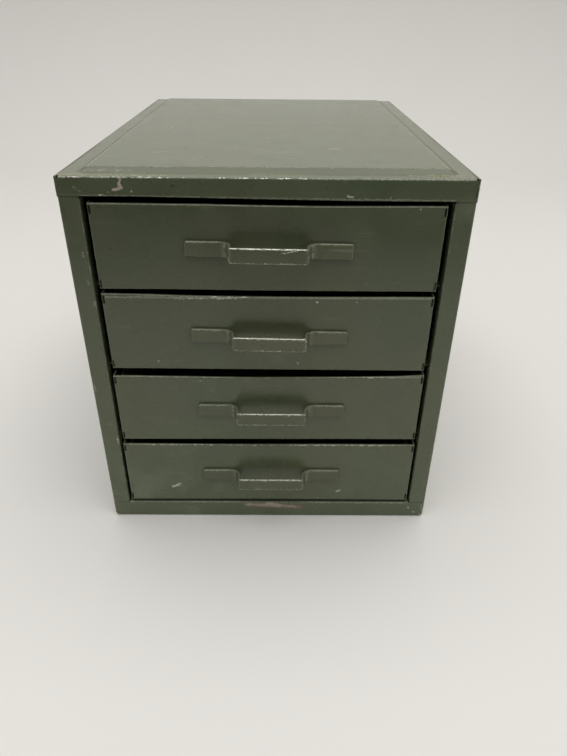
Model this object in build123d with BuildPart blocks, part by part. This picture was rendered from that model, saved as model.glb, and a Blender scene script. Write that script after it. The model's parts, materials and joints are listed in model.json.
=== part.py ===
from build123d import *
import os

# Small steel drawer cabinet: a folded case with four drawers on welded angle runners.
# Millimetres. The origin is at the centre of the case's underside, +Z is up and the
# drawers open towards -Y.

# ---------------------------------------------------------------- case sizes
case_width = 241.0
case_depth = 342.0
case_height = 259.0  # to the lid's flat border
sheet = 1.0  # case and drawer-front sheet
corner_radius = 3.0  # outside of the two long bottom bends
fold_radius = 1.4  # outside of every flange bend
seam = 0.3  # gap where two flanges butt
hair = 0.001  # slack where a place is looked up or two arcs would meet exactly
clearance = 0.3  # between pieces that are set in by hand

# ---------------------------------------------------------------- front frame
stile_width = 12.4
rail_height = 14.1
lid_flange = 11.4
return_depth = 8.0  # how far the frame's edges are turned back
frame_corner_radius = 2.0  # rounded inner corners of the stiles

# ---------------------------------------------------------------- lid
lid_side_flange = 12.0
panel_border_side = 9.5  # flat border left and right of the raised panel
panel_border_end = 10.0  # flat border at the front and back
panel_slope = 5.5  # how far the pressed slope runs
panel_rise = 2.5
panel_foot_corner = 3.0
panel_top_corner = 1.0
panel_crease_radius = 2.5  # softness of the pressed creases

# ---------------------------------------------------------------- drawers
drawer_count = 4
drawer_gap = 4.7  # between two fronts
top_gap = 3.8
bottom_gap = 3.2
side_gap = 3.5
pan_depth = 8.0  # returns at the front's sides and lower edge
pan_corner_radius = 1.2
front_hem = 5.0  # the front's upper edge is folded flat against its back
notch_length = 5.5  # relief notch at each end of the front's upright bends
notch_width = 1.3
notch_depth = 1.6
notch_inset = 1.0  # from the front's upper or lower edge to the notch
notch_side = 1.3  # from the front's side to the notch's middle

tray_sheet = 0.8
tray_top_gap = 1.1  # from the front's hem down to the tray's walls
tray_fold_radius = 1.4
hem_height = 6.0  # folded top edge of the tray walls

# ---------------------------------------------------------------- runners
runner_sheet = 1.2
runner_fold_radius = 2.0
runner_leg = 10.0  # welded to the case side
runner_bearing = 6.0  # how far the ledge reaches under the tray
runner_lead_in = 4.0  # cut corner at the front of the ledge
running_gap = 0.3

# ---------------------------------------------------------------- strap pulls
strap_thickness = 2.4
strap_height = 9.5
strap_length = 101.0
grip_width = 49.0
grip_reach = 13.3  # how far the grip stands out from the drawer front
foot_bend_radius = 5.5  # visible side of the bend from foot to leg
grip_bend_radius = 1.2  # inside of the bend from leg to grip
strap_corner_radius = 1.2
pull_drop = 2.0  # below the middle of the drawer front

# ---------------------------------------------------------------- places worked out
half_width = case_width / 2
half_depth = case_depth / 2
front = -half_depth
opening_half = half_width - stile_width
lid_low = case_height - lid_flange
inner_half = half_width - sheet
fold_middle = fold_radius - sheet / 2
fold_inside = fold_radius - sheet
panel_back = half_depth - sheet  # rear face of the back panel
panel_edge = sheet + fold_inside + clearance  # the back panel clears the case's folds

fronts_height = lid_low - rail_height - top_gap - bottom_gap
front_height = (fronts_height - (drawer_count - 1) * drawer_gap) / drawer_count
drawer_pitch = front_height + drawer_gap
front_width = 2 * (opening_half - side_gap)
hem_thickness = 2 * sheet

tray_half = front_width / 2 - sheet - clearance
tray_wall_height = front_height - sheet - front_hem - tray_top_gap
tray_front = front + sheet
tray_rear = panel_back - sheet - clearance

runner_front = front + return_depth + clearance
runner_rear = panel_back - sheet - clearance


def front_bottom(number):
    """Lower edge of a drawer front, drawer 1 at the top."""
    return rail_height + bottom_gap + (drawer_count - number) * drawer_pitch


def tray_bottom(number):
    """The tray stands on the lower return of its front."""
    return front_bottom(number) + sheet


os.makedirs("parts", exist_ok=True)


# ================================================================ wrapper
# One sheet makes the left side, the bottom and the right side. Its front edges are folded
# into two stiles and a bottom rail, and its rear edges into narrow flanges.
with BuildPart() as wrapper:
    # The rail's plate, with the case's rounded lower corners and the soft edge of its fold.
    rail_block = fold_radius + sheet
    with BuildSketch(Plane.XZ.offset(half_depth)) as rail_face:
        Rectangle(case_width, rail_height, align=(Align.CENTER, Align.MIN))
        fillet(rail_face.vertices().group_by(Axis.Y)[0], corner_radius)
    extrude(amount=-rail_block)
    rail_front = wrapper.faces().sort_by(Axis.Y)[0]
    top_edge = rail_front.edges().sort_by(Axis.Z)[-1]
    fillet([edge for edge in rail_front.edges() if edge != top_edge], fold_radius)
    with BuildSketch(Plane.YZ) as behind_rail:
        with Locations((front + sheet, sheet)):
            Rectangle(rail_block, rail_height, align=(Align.MIN, Align.MIN))
        fillet(behind_rail.vertices().sort_by_distance((front, 0))[0], fold_inside)
    extrude(amount=half_width, both=True, mode=Mode.SUBTRACT)
    # Only the flat middle of the bottom folds up into the rail: the corners are slit.
    with BuildSketch(Plane.XY) as corner_slit:
        with Locations((-half_width, front + sheet), (half_width, front + sheet)):
            Rectangle(2 * corner_radius, 2 * rail_block, align=(Align.CENTER, Align.MIN))
    extrude(amount=rail_height, mode=Mode.SUBTRACT)

    # Sides and bottom.
    with BuildSketch(Plane.XZ) as case_section:
        with BuildLine():
            FilletPolyline(
                (-half_width + sheet / 2, case_height),
                (-half_width + sheet / 2, sheet / 2),
                (half_width - sheet / 2, sheet / 2),
                (half_width - sheet / 2, case_height),
                radius=corner_radius - sheet / 2,
            )
        trace(line_width=sheet)
    extrude(amount=half_depth - fold_radius, both=True)

    # Stiles, folded inwards from the sides between the rail and the lid.
    with BuildSketch(Plane.XY.offset(rail_height + seam)) as stile_section:
        with BuildLine():
            FilletPolyline(
                (half_width - sheet / 2, front + 2 * fold_radius),
                (half_width - sheet / 2, front + sheet / 2),
                (opening_half, front + sheet / 2),
                radius=fold_middle,
            )
        trace(line_width=sheet)
        mirror(about=Plane.YZ)
    extrude(amount=lid_low - rail_height - 2 * seam)

    # Beside the lid the side sheets run on to the front as raw edges.
    with BuildSketch(Plane.XY.offset(lid_low)) as raw_edge:
        with Locations((-half_width, front), (inner_half, front)):
            Rectangle(sheet, 2 * fold_radius, align=(Align.MIN, Align.MIN))
    extrude(amount=lid_flange)

    # The rear has the same flanges as the front, without the turned-back edges below.
    mirror(about=Plane.XZ)

    # Front only: the stiles' inner edges are turned back into the case.
    with BuildSketch(Plane.XY.offset(rail_height)) as stile_edge:
        with Locations((-opening_half, front), (opening_half, front)):
            Rectangle(2 * fold_radius, 3 * sheet, align=(Align.CENTER, Align.CENTER))
    extrude(amount=lid_low - rail_height, mode=Mode.SUBTRACT)
    with BuildSketch(Plane.XY.offset(rail_height + seam)) as stile_return:
        with BuildLine():
            FilletPolyline(
                (opening_half + 2 * fold_radius, front + sheet / 2),
                (opening_half + sheet / 2, front + sheet / 2),
                (opening_half + sheet / 2, front + return_depth),
                radius=fold_middle,
            )
        trace(line_width=sheet)
        mirror(about=Plane.YZ)
    extrude(amount=lid_low - rail_height - 2 * seam)

    # The rail's upper edge is turned back between the stiles.
    with BuildSketch(Plane.YZ) as rail_edge:
        with Locations((front, rail_height)):
            Rectangle(3 * sheet, 2 * fold_radius)
    extrude(amount=opening_half, both=True, mode=Mode.SUBTRACT)
    with BuildSketch(Plane.YZ) as rail_return:
        with BuildLine():
            FilletPolyline(
                (front + sheet / 2, rail_height - 2 * fold_radius),
                (front + sheet / 2, rail_height - sheet / 2),
                (front + return_depth, rail_height - sheet / 2),
                radius=fold_middle,
            )
        trace(line_width=sheet)
    extrude(amount=opening_half, both=True)

    # The stiles' inner corners are rounded at both ends.
    with BuildSketch(Plane.XZ.offset(half_depth)) as stile_corners:
        for end_height, inwards, alignment in (
            (rail_height + seam, frame_corner_radius, Align.MIN),
            (lid_low - seam, -frame_corner_radius, Align.MAX),
        ):
            with Locations((opening_half, end_height)):
                Rectangle(frame_corner_radius, frame_corner_radius, align=(Align.MIN, alignment))
            with Locations((opening_half + frame_corner_radius, end_height + inwards)):
                Circle(frame_corner_radius, mode=Mode.SUBTRACT)
        mirror(about=Plane.YZ)
    extrude(amount=-(return_depth + sheet), mode=Mode.SUBTRACT)

wrapper.part.label = "wrapper"
export_step(wrapper.part, "parts/wrapper.step")


# ================================================================ lid
# A pressed sheet set between the two sides, with flanges down all round.
with BuildPart() as lid:
    lid_middle = case_height - sheet / 2
    with BuildSketch(Plane.YZ) as lid_end_section:
        with BuildLine():
            FilletPolyline(
                (front + sheet / 2, lid_low),
                (front + sheet / 2, lid_middle),
                (half_depth - sheet / 2, lid_middle),
                (half_depth - sheet / 2, lid_low),
                radius=fold_middle,
            )
        trace(line_width=sheet)
    extrude(amount=inner_half - fold_radius, both=True)
    with BuildSketch(Plane.XZ) as lid_side_section:
        with BuildLine():
            FilletPolyline(
                (-inner_half + sheet / 2, case_height - lid_side_flange),
                (-inner_half + sheet / 2, lid_middle),
                (inner_half - sheet / 2, lid_middle),
                (inner_half - sheet / 2, case_height - lid_side_flange),
                radius=fold_middle,
            )
        trace(line_width=sheet)
    extrude(amount=half_depth - 2 * sheet - clearance, both=True)
    # The end flanges reach the sides, below the relief notch at each corner.
    with BuildSketch(Plane.XY.offset(lid_low)) as flange_ends:
        with Locations((0, front + sheet / 2), (0, half_depth - sheet / 2)):
            Rectangle(2 * inner_half, sheet)
    extrude(amount=lid_flange - fold_radius)
    # The front flange's lower edge is turned back over the opening.
    with BuildSketch(Plane.YZ) as flange_edge:
        with Locations((front, lid_low)):
            Rectangle(3 * sheet, 2 * fold_radius)
    extrude(amount=opening_half, both=True, mode=Mode.SUBTRACT)
    with BuildSketch(Plane.YZ) as flange_return:
        with BuildLine():
            FilletPolyline(
                (front + sheet / 2, lid_low + 2 * fold_radius),
                (front + sheet / 2, lid_low + sheet / 2),
                (front + return_depth, lid_low + sheet / 2),
                radius=fold_middle,
            )
        trace(line_width=sheet)
    extrude(amount=opening_half, both=True)

    # The raised panel is pressed up from below, so the underside follows it, and its
    # upper creases are soft.
    foot_width = case_width - 2 * panel_border_side
    foot_length = case_depth - 2 * panel_border_end
    for level, mode in ((case_height, Mode.ADD), (case_height - sheet, Mode.SUBTRACT)):
        with BuildSketch(Plane.XY.offset(level)) as panel_foot:
            RectangleRounded(foot_width, foot_length, panel_foot_corner)
        with BuildSketch(Plane.XY.offset(level + panel_rise)) as panel_top:
            RectangleRounded(foot_width - 2 * panel_slope, foot_length - 2 * panel_slope, panel_top_corner)
        loft(ruled=True, mode=mode)
    for level in (case_height + panel_rise, case_height):
        at_level = lid.edges().filter_by_position(Axis.Z, level - hair, level + hair)
        across = at_level.filter_by_position(Axis.X, -foot_width / 2 - hair, foot_width / 2 + hair)
        creases = across.filter_by_position(Axis.Y, -foot_length / 2 - hair, foot_length / 2 + hair)
        fillet(creases, panel_crease_radius)

lid.part.label = "lid"
export_step(lid.part, "parts/lid.step")


# ================================================================ back panel
# A flat sheet welded inside the rear flanges of the wrapper and the lid.
with BuildPart() as back_panel:
    with BuildSketch(Plane.XZ.offset(-panel_back)) as back_face:
        with Locations((0, panel_edge)):
            Rectangle(
                case_width - 2 * panel_edge,
                case_height - 2 * panel_edge,
                align=(Align.CENTER, Align.MIN),
            )
        fillet(back_face.vertices().group_by(Axis.Y)[0], corner_radius)
    extrude(amount=sheet)

back_panel.part.label = "back_panel"
export_step(back_panel.part, "parts/back_panel.step")


# ================================================================ runners
def make_runner(number, side):
    """An angle welded to the case side. Its ledge carries the tray's lower edge."""
    ledge_middle = tray_bottom(number) - running_gap - runner_sheet / 2
    wall = side * (inner_half - runner_sheet / 2)
    with BuildPart(mode=Mode.PRIVATE) as runner:
        with BuildSketch(Plane.XZ.offset(-runner_front)) as angle:
            with BuildLine():
                FilletPolyline(
                    (side * (tray_half - runner_bearing), ledge_middle),
                    (wall, ledge_middle),
                    (wall, ledge_middle + runner_sheet / 2 - runner_leg),
                    radius=runner_fold_radius - runner_sheet / 2,
                )
            trace(line_width=runner_sheet)
        extrude(amount=-(runner_rear - runner_front))
        ledge_ends = runner.edges().filter_by(Axis.Z).sort_by(Axis.X)
        ledge_side = ledge_ends[:2] if side > 0 else ledge_ends[-2:]
        chamfer(ledge_side.sort_by(Axis.Y)[0], runner_lead_in)
    return runner.part


for number in range(1, drawer_count + 1):
    for side, side_name in ((-1, "left"), (1, "right")):
        runner_part = make_runner(number, side)
        runner_part.label = f"runner_{side_name}_{number}"
        export_step(runner_part, f"parts/runner_{side_name}_{number}.step")


# ================================================================ drawer fronts
def make_front(number):
    """A folded sheet with returns at its sides and lower edge and a hemmed upper edge."""
    base = front_bottom(number)
    top = base + front_height
    with BuildPart(mode=Mode.PRIVATE) as pan:
        with BuildSketch(Plane.XZ.offset(half_depth)) as face:
            with Locations((0, base)):
                Rectangle(front_width, front_height, align=(Align.CENTER, Align.MIN))
        extrude(amount=-pan_depth)
        fillet(pan.faces().sort_by(Axis.Y)[0].edges(), pan_corner_radius)
        with BuildSketch(Plane.XZ.offset(half_depth - sheet)) as hollow:
            with Locations((0, base + sheet)):
                Rectangle(front_width - 2 * sheet, front_height, align=(Align.CENTER, Align.MIN))
        extrude(amount=-pan_depth, mode=Mode.SUBTRACT)
        with BuildSketch(Plane.YZ) as hem:
            with Locations((front, top)):
                Rectangle(hem_thickness, front_hem, align=(Align.MIN, Align.MAX))
            fillet(hem.vertices().sort_by_distance((front, top))[0], pan_corner_radius)
            hem_back = hem.vertices().sort_by_distance((front + hem_thickness, top))[0]
            fillet(hem_back, hem_thickness - pan_corner_radius - hair)
        extrude(amount=front_width / 2 - notch_side - notch_width / 2, both=True)
        notch_middle = notch_inset + notch_length / 2
        with BuildSketch(Plane.XZ.offset(half_depth)) as notches:
            for side in (-1, 1):
                with Locations(
                    (side * (front_width / 2 - notch_side), base + notch_middle),
                    (side * (front_width / 2 - notch_side), top - notch_middle),
                ):
                    SlotOverall(notch_length, notch_width, rotation=90)
        extrude(amount=-notch_depth, mode=Mode.SUBTRACT)
    return pan.part


# ================================================================ trays
def make_tray(number):
    """The drawer's box, folded up from one sheet with hemmed side and rear walls."""
    base = tray_bottom(number)
    length = tray_rear - tray_front
    with BuildPart(mode=Mode.PRIVATE) as tray:
        with BuildSketch(Plane.XY.offset(base)) as floor_plan:
            with Locations((0, tray_front + length / 2)):
                Rectangle(2 * tray_half, length)
        extrude(amount=tray_wall_height)
        fillet(tray.faces().sort_by(Axis.Z)[0].edges(), tray_fold_radius)
        with BuildSketch(Plane.XY.offset(base + tray_sheet)) as hollow:
            with Locations((0, tray_front + length / 2)):
                Rectangle(2 * (tray_half - tray_sheet), length - 2 * tray_sheet)
        extrude(amount=tray_wall_height, mode=Mode.SUBTRACT)
        inner_floor = tray.faces().filter_by(Plane.XY).sort_by(Axis.Z)[1]
        fillet(inner_floor.edges(), tray_fold_radius - tray_sheet)
        # Hems: the top edges of the side and rear walls are folded over inwards.
        with BuildSketch(Plane.XY.offset(base + tray_wall_height - hem_height)) as hems:
            with Locations(
                (-tray_half + tray_sheet, tray_front + length / 2),
                (tray_half - tray_sheet, tray_front + length / 2),
            ):
                Rectangle(2 * tray_sheet, length - 2 * tray_sheet)
            with Locations((0, tray_rear - tray_sheet)):
                Rectangle(2 * tray_half - 4 * tray_sheet, 2 * tray_sheet)
        extrude(amount=hem_height)
        # Slits where the upright walls meet at the corners.
        with BuildSketch(Plane.XY.offset(base + tray_fold_radius)) as slits:
            for side in (-1, 1):
                with Locations(
                    (side * tray_half, tray_front + tray_sheet + seam / 2),
                    (side * tray_half, tray_rear - tray_sheet - seam / 2),
                ):
                    Rectangle(5 * tray_sheet, seam)
        extrude(amount=tray_wall_height, mode=Mode.SUBTRACT)
    return tray.part


# ================================================================ pulls
def make_pull(number):
    """A flat strap bent into a grip, its two feet welded flat on the drawer front."""
    height = front_bottom(number) + front_height / 2 - pull_drop
    foot_line = front - strap_thickness / 2
    grip_line = front - grip_reach + strap_thickness / 2
    leg = grip_width / 2 - strap_thickness / 2
    foot_middle = foot_bend_radius + strap_thickness / 2
    grip_middle = grip_bend_radius + strap_thickness / 2
    with BuildPart(mode=Mode.PRIVATE) as pull:
        with BuildSketch(Plane.XY.offset(height - strap_height / 2)) as strap:
            with BuildLine():
                FilletPolyline(
                    (-strap_length / 2, foot_line),
                    (-leg, foot_line),
                    (-leg, grip_line),
                    (leg, grip_line),
                    (leg, foot_line),
                    (strap_length / 2, foot_line),
                    radius=(foot_middle, grip_middle, grip_middle, foot_middle),
                )
            trace(line_width=strap_thickness)
        extrude(amount=strap_height)
        strap_ends = pull.edges().filter_by(Axis.Y).group_by(Axis.X)
        fillet(strap_ends[0] + strap_ends[-1], strap_corner_radius)
    return pull.part


for number in range(1, drawer_count + 1):
    for piece_name, piece in (
        ("front", make_front(number)),
        ("tray", make_tray(number)),
        ("pull", make_pull(number)),
    ):
        piece.label = f"drawer_{number}_{piece_name}"
        export_step(piece, f"parts/drawer_{number}_{piece_name}.step")
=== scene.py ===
# %% [markdown]
# # A small steel drawer cabinet in olive enamel
#
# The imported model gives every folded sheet, drawer, runner and strap pull at its real size. This
# lesson dresses it: the sheets get rounded edges and the bows of long use, the strap pulls are
# bent again with a finer mesh, and the old enamel gets its orange peel, rubs, chips and rust.
# Everything stays in the model's own frame, in metres, with the drawers opening towards -Y.

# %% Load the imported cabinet
import json
import math
from contextlib import contextmanager
import bmesh
import bpy
from mathutils import Matrix, Vector

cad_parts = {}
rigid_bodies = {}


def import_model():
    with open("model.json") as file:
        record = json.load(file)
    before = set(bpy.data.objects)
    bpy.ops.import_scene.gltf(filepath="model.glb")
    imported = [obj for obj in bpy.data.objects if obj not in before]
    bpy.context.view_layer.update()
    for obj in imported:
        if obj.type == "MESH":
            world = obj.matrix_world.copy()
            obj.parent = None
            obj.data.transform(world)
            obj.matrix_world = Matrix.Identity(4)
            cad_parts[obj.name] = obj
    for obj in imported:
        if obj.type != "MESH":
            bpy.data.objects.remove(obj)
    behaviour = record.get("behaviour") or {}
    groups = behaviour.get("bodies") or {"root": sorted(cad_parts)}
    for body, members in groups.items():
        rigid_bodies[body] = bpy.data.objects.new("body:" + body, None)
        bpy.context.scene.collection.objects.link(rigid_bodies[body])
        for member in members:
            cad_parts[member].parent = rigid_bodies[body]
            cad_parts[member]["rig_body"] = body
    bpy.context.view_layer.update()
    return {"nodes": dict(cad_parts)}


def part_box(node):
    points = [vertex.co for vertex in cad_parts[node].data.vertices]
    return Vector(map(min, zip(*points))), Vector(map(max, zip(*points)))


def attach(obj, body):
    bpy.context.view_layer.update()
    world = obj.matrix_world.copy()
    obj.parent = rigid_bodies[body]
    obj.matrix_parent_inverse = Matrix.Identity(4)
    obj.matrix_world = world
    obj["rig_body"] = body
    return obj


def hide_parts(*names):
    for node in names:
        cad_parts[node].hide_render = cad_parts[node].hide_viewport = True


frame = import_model()
MM = 0.001
case_low, case_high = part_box("wrapper")
FRONT = case_low.y
print("case", [round(size / MM, 1) for size in case_high - case_low], "mm")

# %% [markdown]
# ## Camera
#
# The picture was taken by hand from just above the case, looking down on it. The camera stands
# 347 mm in front of the drawers and 340 mm over the floor, and is tipped by 31.5 degrees. Its
# lens covers as much as a 29 mm lens does on a full frame. Turning the lens in the order yaw,
# pitch, roll keeps each angle readable.

# %% Place the camera
LENS_PLACE = Vector((7.0, -518.1, 339.7)) * MM
LENS_YAW, LENS_PITCH, LENS_ROLL = math.radians(-0.49), math.radians(-31.5), math.radians(-0.58)
LENS_LENGTH = 28.62

lens = bpy.data.cameras.new("lens")
lens.lens = LENS_LENGTH
lens.clip_start = 10 * MM
camera = bpy.data.objects.new("camera", lens)
bpy.context.scene.collection.objects.link(camera)
level = Matrix.Rotation(math.radians(90), 4, "X")
aim = Matrix.Rotation(LENS_YAW, 4, "Z") @ Matrix.Rotation(LENS_PITCH, 4, "X")
aim = aim @ Matrix.Rotation(LENS_ROLL, 4, "Y")
camera.matrix_world = Matrix.Translation(LENS_PLACE) @ aim @ level
bpy.context.scene.camera = camera
bpy.context.scene.view_settings.view_transform = "Standard"
print("camera at", [round(part / MM) for part in camera.location], "mm")

# %% [markdown]
# ## Working one piece at a time
#
# Modelling operators act on whatever is selected, so each step first makes its piece the only
# selected one. Two small helpers do that, one for object mode and one that also steps into edit
# mode and out again.

# %% Helpers for operators
def only(piece):
    """Makes one piece the only selected and active one."""
    bpy.ops.object.select_all(action="DESELECT")
    piece.select_set(True)
    bpy.context.view_layer.objects.active = piece


@contextmanager
def editing(piece, select="SELECT"):
    """Opens a piece in edit mode and hands over its mesh."""
    only(piece)
    bpy.ops.object.mode_set(mode="EDIT")
    bpy.ops.mesh.select_all(action=select)
    yield bmesh.from_edit_mesh(piece.data)
    bpy.ops.object.mode_set(mode="OBJECT")


def settle(piece):
    """Puts a piece's place into its mesh, so that the object stands at the origin."""
    only(piece)
    bpy.ops.object.transform_apply(location=True, rotation=True, scale=True)
    return piece


# %% [markdown]
# ## Floor and backdrop
#
# A studio sweep is one sheet: it lies flat under the case and bends up behind it, so that no
# horizon line shows. A plane is added, its rear edge is spun through a quarter turn for the bend
# and then drawn straight up. The lid is seen at a flat angle and mirrors the upright part, which
# is why the sweep has to be pale all the way up.

# %% Make the sweep
SWEEP_HALF_WIDTH = 4.5
SWEEP_FRONT, SWEEP_REAR = -0.75, 1.0
SWEEP_BEND = 0.5
SWEEP_TOP = 2.4

bpy.ops.object.select_all(action="DESELECT")
bpy.ops.mesh.primitive_plane_add(size=1, location=(0, (SWEEP_FRONT + SWEEP_REAR) / 2, 0))
sweep = bpy.context.object
sweep.name = "sweep"
sweep.scale = (2 * SWEEP_HALF_WIDTH, SWEEP_REAR - SWEEP_FRONT, 1)
settle(sweep)
with editing(sweep, "DESELECT") as mesh:
    bpy.ops.mesh.select_mode(type="EDGE")
    for edge in mesh.edges:
        edge.select = all(abs(end.co.y - SWEEP_REAR) < MM for end in edge.verts)
    mesh.select_flush_mode()
    bmesh.update_edit_mesh(sweep.data)
    bpy.ops.mesh.spin(
        steps=16, angle=math.radians(-90), center=(0, SWEEP_REAR, SWEEP_BEND), axis=(1, 0, 0)
    )
    bpy.ops.mesh.extrude_region_move(
        TRANSFORM_OT_translate={"value": (0, 0, SWEEP_TOP - SWEEP_BEND)}
    )
only(sweep)
bpy.ops.object.shade_smooth()
print("sweep spans", [round(size, 2) for size in sweep.dimensions], "m")

# %% [markdown]
# ## Light
#
# The picture has the light of a room: soft, from overhead, with no hard shadow. One large square
# panel over the case stands for it, and a pale surround fills the rest. The side that the camera
# stands on is dimmer, as in a room that is lit from above and behind the object. The drawers
# face that dim side, and the upper ones get less light back from the floor, so they come out
# darker than the lower ones.

# %% Hang the panel and light the surround
PANEL_SIZE = 3.0
PANEL_PLACE = Vector((0.05, -0.32, 2.6))
PANEL_POWER = 64.0
SURROUND = 0.78
SURROUND_FRONT = 0.35
SURROUND_BELOW = 0.13
SURROUND_LEFT, SURROUND_RIGHT = 0.90, 1.25

panel_light = bpy.data.lights.new("panel", "AREA")
panel_light.shape = "SQUARE"
panel_light.size = PANEL_SIZE
panel_light.energy = PANEL_POWER
panel = bpy.data.objects.new("panel", panel_light)
bpy.context.scene.collection.objects.link(panel)
panel.location = PANEL_PLACE

world = bpy.data.worlds.new("surround")
bpy.context.scene.world = world
world.use_nodes = True
world.node_tree.nodes.clear()
print("panel", PANEL_SIZE, "m wide at", round(PANEL_PLACE.z, 2), "m")

# %% [markdown]
# ## Wiring materials
#
# Every finish here is a small tree of shader nodes. `put` adds one node, sets its options and
# fills or links its inputs, so that a tree reads from top to bottom. `reckon`, `ramp` and
# `blend` put the three nodes that are needed most: one sum, one change of range, one mix of
# colours. `new_group` opens a node group with named inputs and outputs, for effects that several
# finishes share, and `use` places it.

# %% Helpers for single nodes
def plug(tree, socket, value):
    """Links another node's output into a socket, or fills the socket with a plain value."""
    if isinstance(value, bpy.types.NodeSocket):
        tree.links.new(value, socket)
    else:
        socket.default_value = value


def put(tree, kind, inputs=None, **options):
    """Adds a node, sets its options, and fills or links its inputs."""
    node = tree.nodes.new("ShaderNode" + kind)
    for option, value in options.items():
        setattr(node, option, value)
    for name, value in (inputs or {}).items():
        plug(tree, node.inputs[name], value)
    return node


def reckon(tree, operation, first, second):
    """The result of one Math node."""
    return put(tree, "Math", {0: first, 1: second}, operation=operation).outputs[0]


def ramp(tree, value, low, high, to_low=0.0, to_high=1.0):
    """Spreads a range of one value over another, and stops at its ends."""
    inputs = {"Value": value, "From Min": low, "From Max": high, "To Min": to_low, "To Max": to_high}
    return put(tree, "MapRange", inputs).outputs["Result"]


COLOUR_SOCKETS = (0, 6, 7)  # a Mix node's factor and its two colours
COLOUR_RESULT = 2


def blend(tree, factor, first, second):
    """Mixes two colours."""
    mixer = put(tree, "Mix", data_type="RGBA")
    for index, value in zip(COLOUR_SOCKETS, (factor, first, second)):
        plug(tree, mixer.inputs[index], value)
    return mixer.outputs[COLOUR_RESULT]


# %% Helpers for groups and materials
def new_group(name, inputs, outputs):
    """Opens a node group. Returns the tree, its input sockets and its output node."""
    tree = bpy.data.node_groups.new(name, "ShaderNodeTree")
    for label, kind, value in inputs:
        socket = tree.interface.new_socket(label, in_out="INPUT", socket_type="NodeSocket" + kind)
        socket.default_value = value
    for label, kind in outputs:
        tree.interface.new_socket(label, in_out="OUTPUT", socket_type="NodeSocket" + kind)
    given = tree.nodes.new("NodeGroupInput")
    result = tree.nodes.new("NodeGroupOutput")
    return tree, given.outputs, result.inputs


def use(tree, group, inputs=None):
    """Places a node group in a tree and hands back its outputs."""
    node = tree.nodes.new("ShaderNodeGroup")
    node.node_tree = group
    for name, value in (inputs or {}).items():
        plug(tree, node.inputs[name], value)
    return node.outputs


def new_material(name):
    """An empty material with its output node."""
    material = bpy.data.materials.new(name)
    material.use_nodes = True
    material.node_tree.nodes.clear()
    return material, material.node_tree, material.node_tree.nodes.new("ShaderNodeOutputMaterial")


# %% [markdown]
# ## Surround
#
# The surround is dimmer towards the camera's side and below the horizon, and a little brighter to
# the right, told by the direction in which a ray leaves. The camera itself sees one pale tone
# beyond the sweep, so that views from other sides have a plain background as well.

# %% Wire the surround
WARM_WHITE = (1.0, 0.99, 0.97, 1)
BACKDROP = (0.60, 0.59, 0.565, 1)
FRONT_TO_REAR = (-0.7, 0.3)
HORIZON = (-0.05, 0.05)
LEFT_TO_RIGHT = (-0.4, 0.4)

surround = world.node_tree
direction = put(surround, "TexCoord").outputs["Generated"]
towards = put(surround, "SeparateXYZ", {"Vector": direction}).outputs
fill = ramp(surround, towards["Y"], *FRONT_TO_REAR, SURROUND_FRONT, SURROUND)
fill = reckon(surround, "MULTIPLY", fill, ramp(surround, towards["Z"], *HORIZON, SURROUND_BELOW, 1.0))
sideways = ramp(surround, towards["X"], *LEFT_TO_RIGHT, SURROUND_LEFT, SURROUND_RIGHT)
fill = reckon(surround, "MULTIPLY", fill, sideways)
fill_light = put(surround, "Background", {"Color": WARM_WHITE, "Strength": fill})
backdrop = put(surround, "Background", {"Color": BACKDROP, "Strength": 1.0})
rays = put(surround, "LightPath").outputs
seen = reckon(surround, "MAXIMUM", rays["Is Camera Ray"], rays["Is Transmission Ray"])
split = put(surround, "MixShader", {0: seen, 1: fill_light.outputs[0], 2: backdrop.outputs[0]})
put(surround, "OutputWorld", {"Surface": split.outputs[0]})
print("surround has", len(surround.nodes), "nodes")

# %% [markdown]
# ## Sweep finish
#
# The sweep is matt paper in a warm pale grey. One flat tone would look like a screen, so two
# close tones change over from one to the other in faint clouds.

# %% Paint the sweep
SWEEP_COLOUR = (0.645, 0.63, 0.60, 1)
SWEEP_CLOUD = (0.635, 0.62, 0.59, 1)

sweep_paper, tree, out = new_material("sweep_paper")
place = put(tree, "TexCoord").outputs["Object"]
cloud = put(tree, "TexNoise", {"Vector": place, "Scale": 2.0, "Detail": 2.0}).outputs["Fac"]
tone = blend(tree, ramp(tree, cloud, 0.3, 0.7), SWEEP_CLOUD, SWEEP_COLOUR)
paper = put(tree, "BsdfPrincipled", {"Base Color": tone, "Roughness": 0.9})
tree.links.new(paper.outputs[0], out.inputs["Surface"])
sweep.data.materials.append(sweep_paper)
print("materials so far:", len(bpy.data.materials))

# %% [markdown]
# ## Painted sheets
#
# On the real cabinet every sheet is cut, folded and then sprayed, and the enamel rounds off the
# raw edges a little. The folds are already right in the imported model, so its meshes are the
# start: a copy is merged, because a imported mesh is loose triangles, and its flat areas are
# dissolved into single faces. Then all raw edges are found by their angle and bevelled by a
# fifth of a millimetre, which is what catches the light along a painted edge. Normals weighted
# by face area keep the flat sheets flat right up to each bend.

# %% Helper that dresses one sheet
MERGE_REACH = 0.001 * MM
FLAT_ANGLE = math.radians(0.2)
RAW_EDGE_ANGLE = math.radians(60)
SMOOTH_ANGLE = math.radians(38)
PAINTED_EDGE = 0.2 * MM


def weigh_normals(piece):
    """Smooth shading on bends, with flat sheets kept flat beside them."""
    only(piece)
    bpy.ops.object.shade_smooth_by_angle(angle=SMOOTH_ANGLE)
    weighing = piece.modifiers.new("flat_sheets", "WEIGHTED_NORMAL")
    weighing.keep_sharp = True
    weighing.weight = 100
    bpy.ops.object.modifier_apply(modifier=weighing.name)


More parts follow.
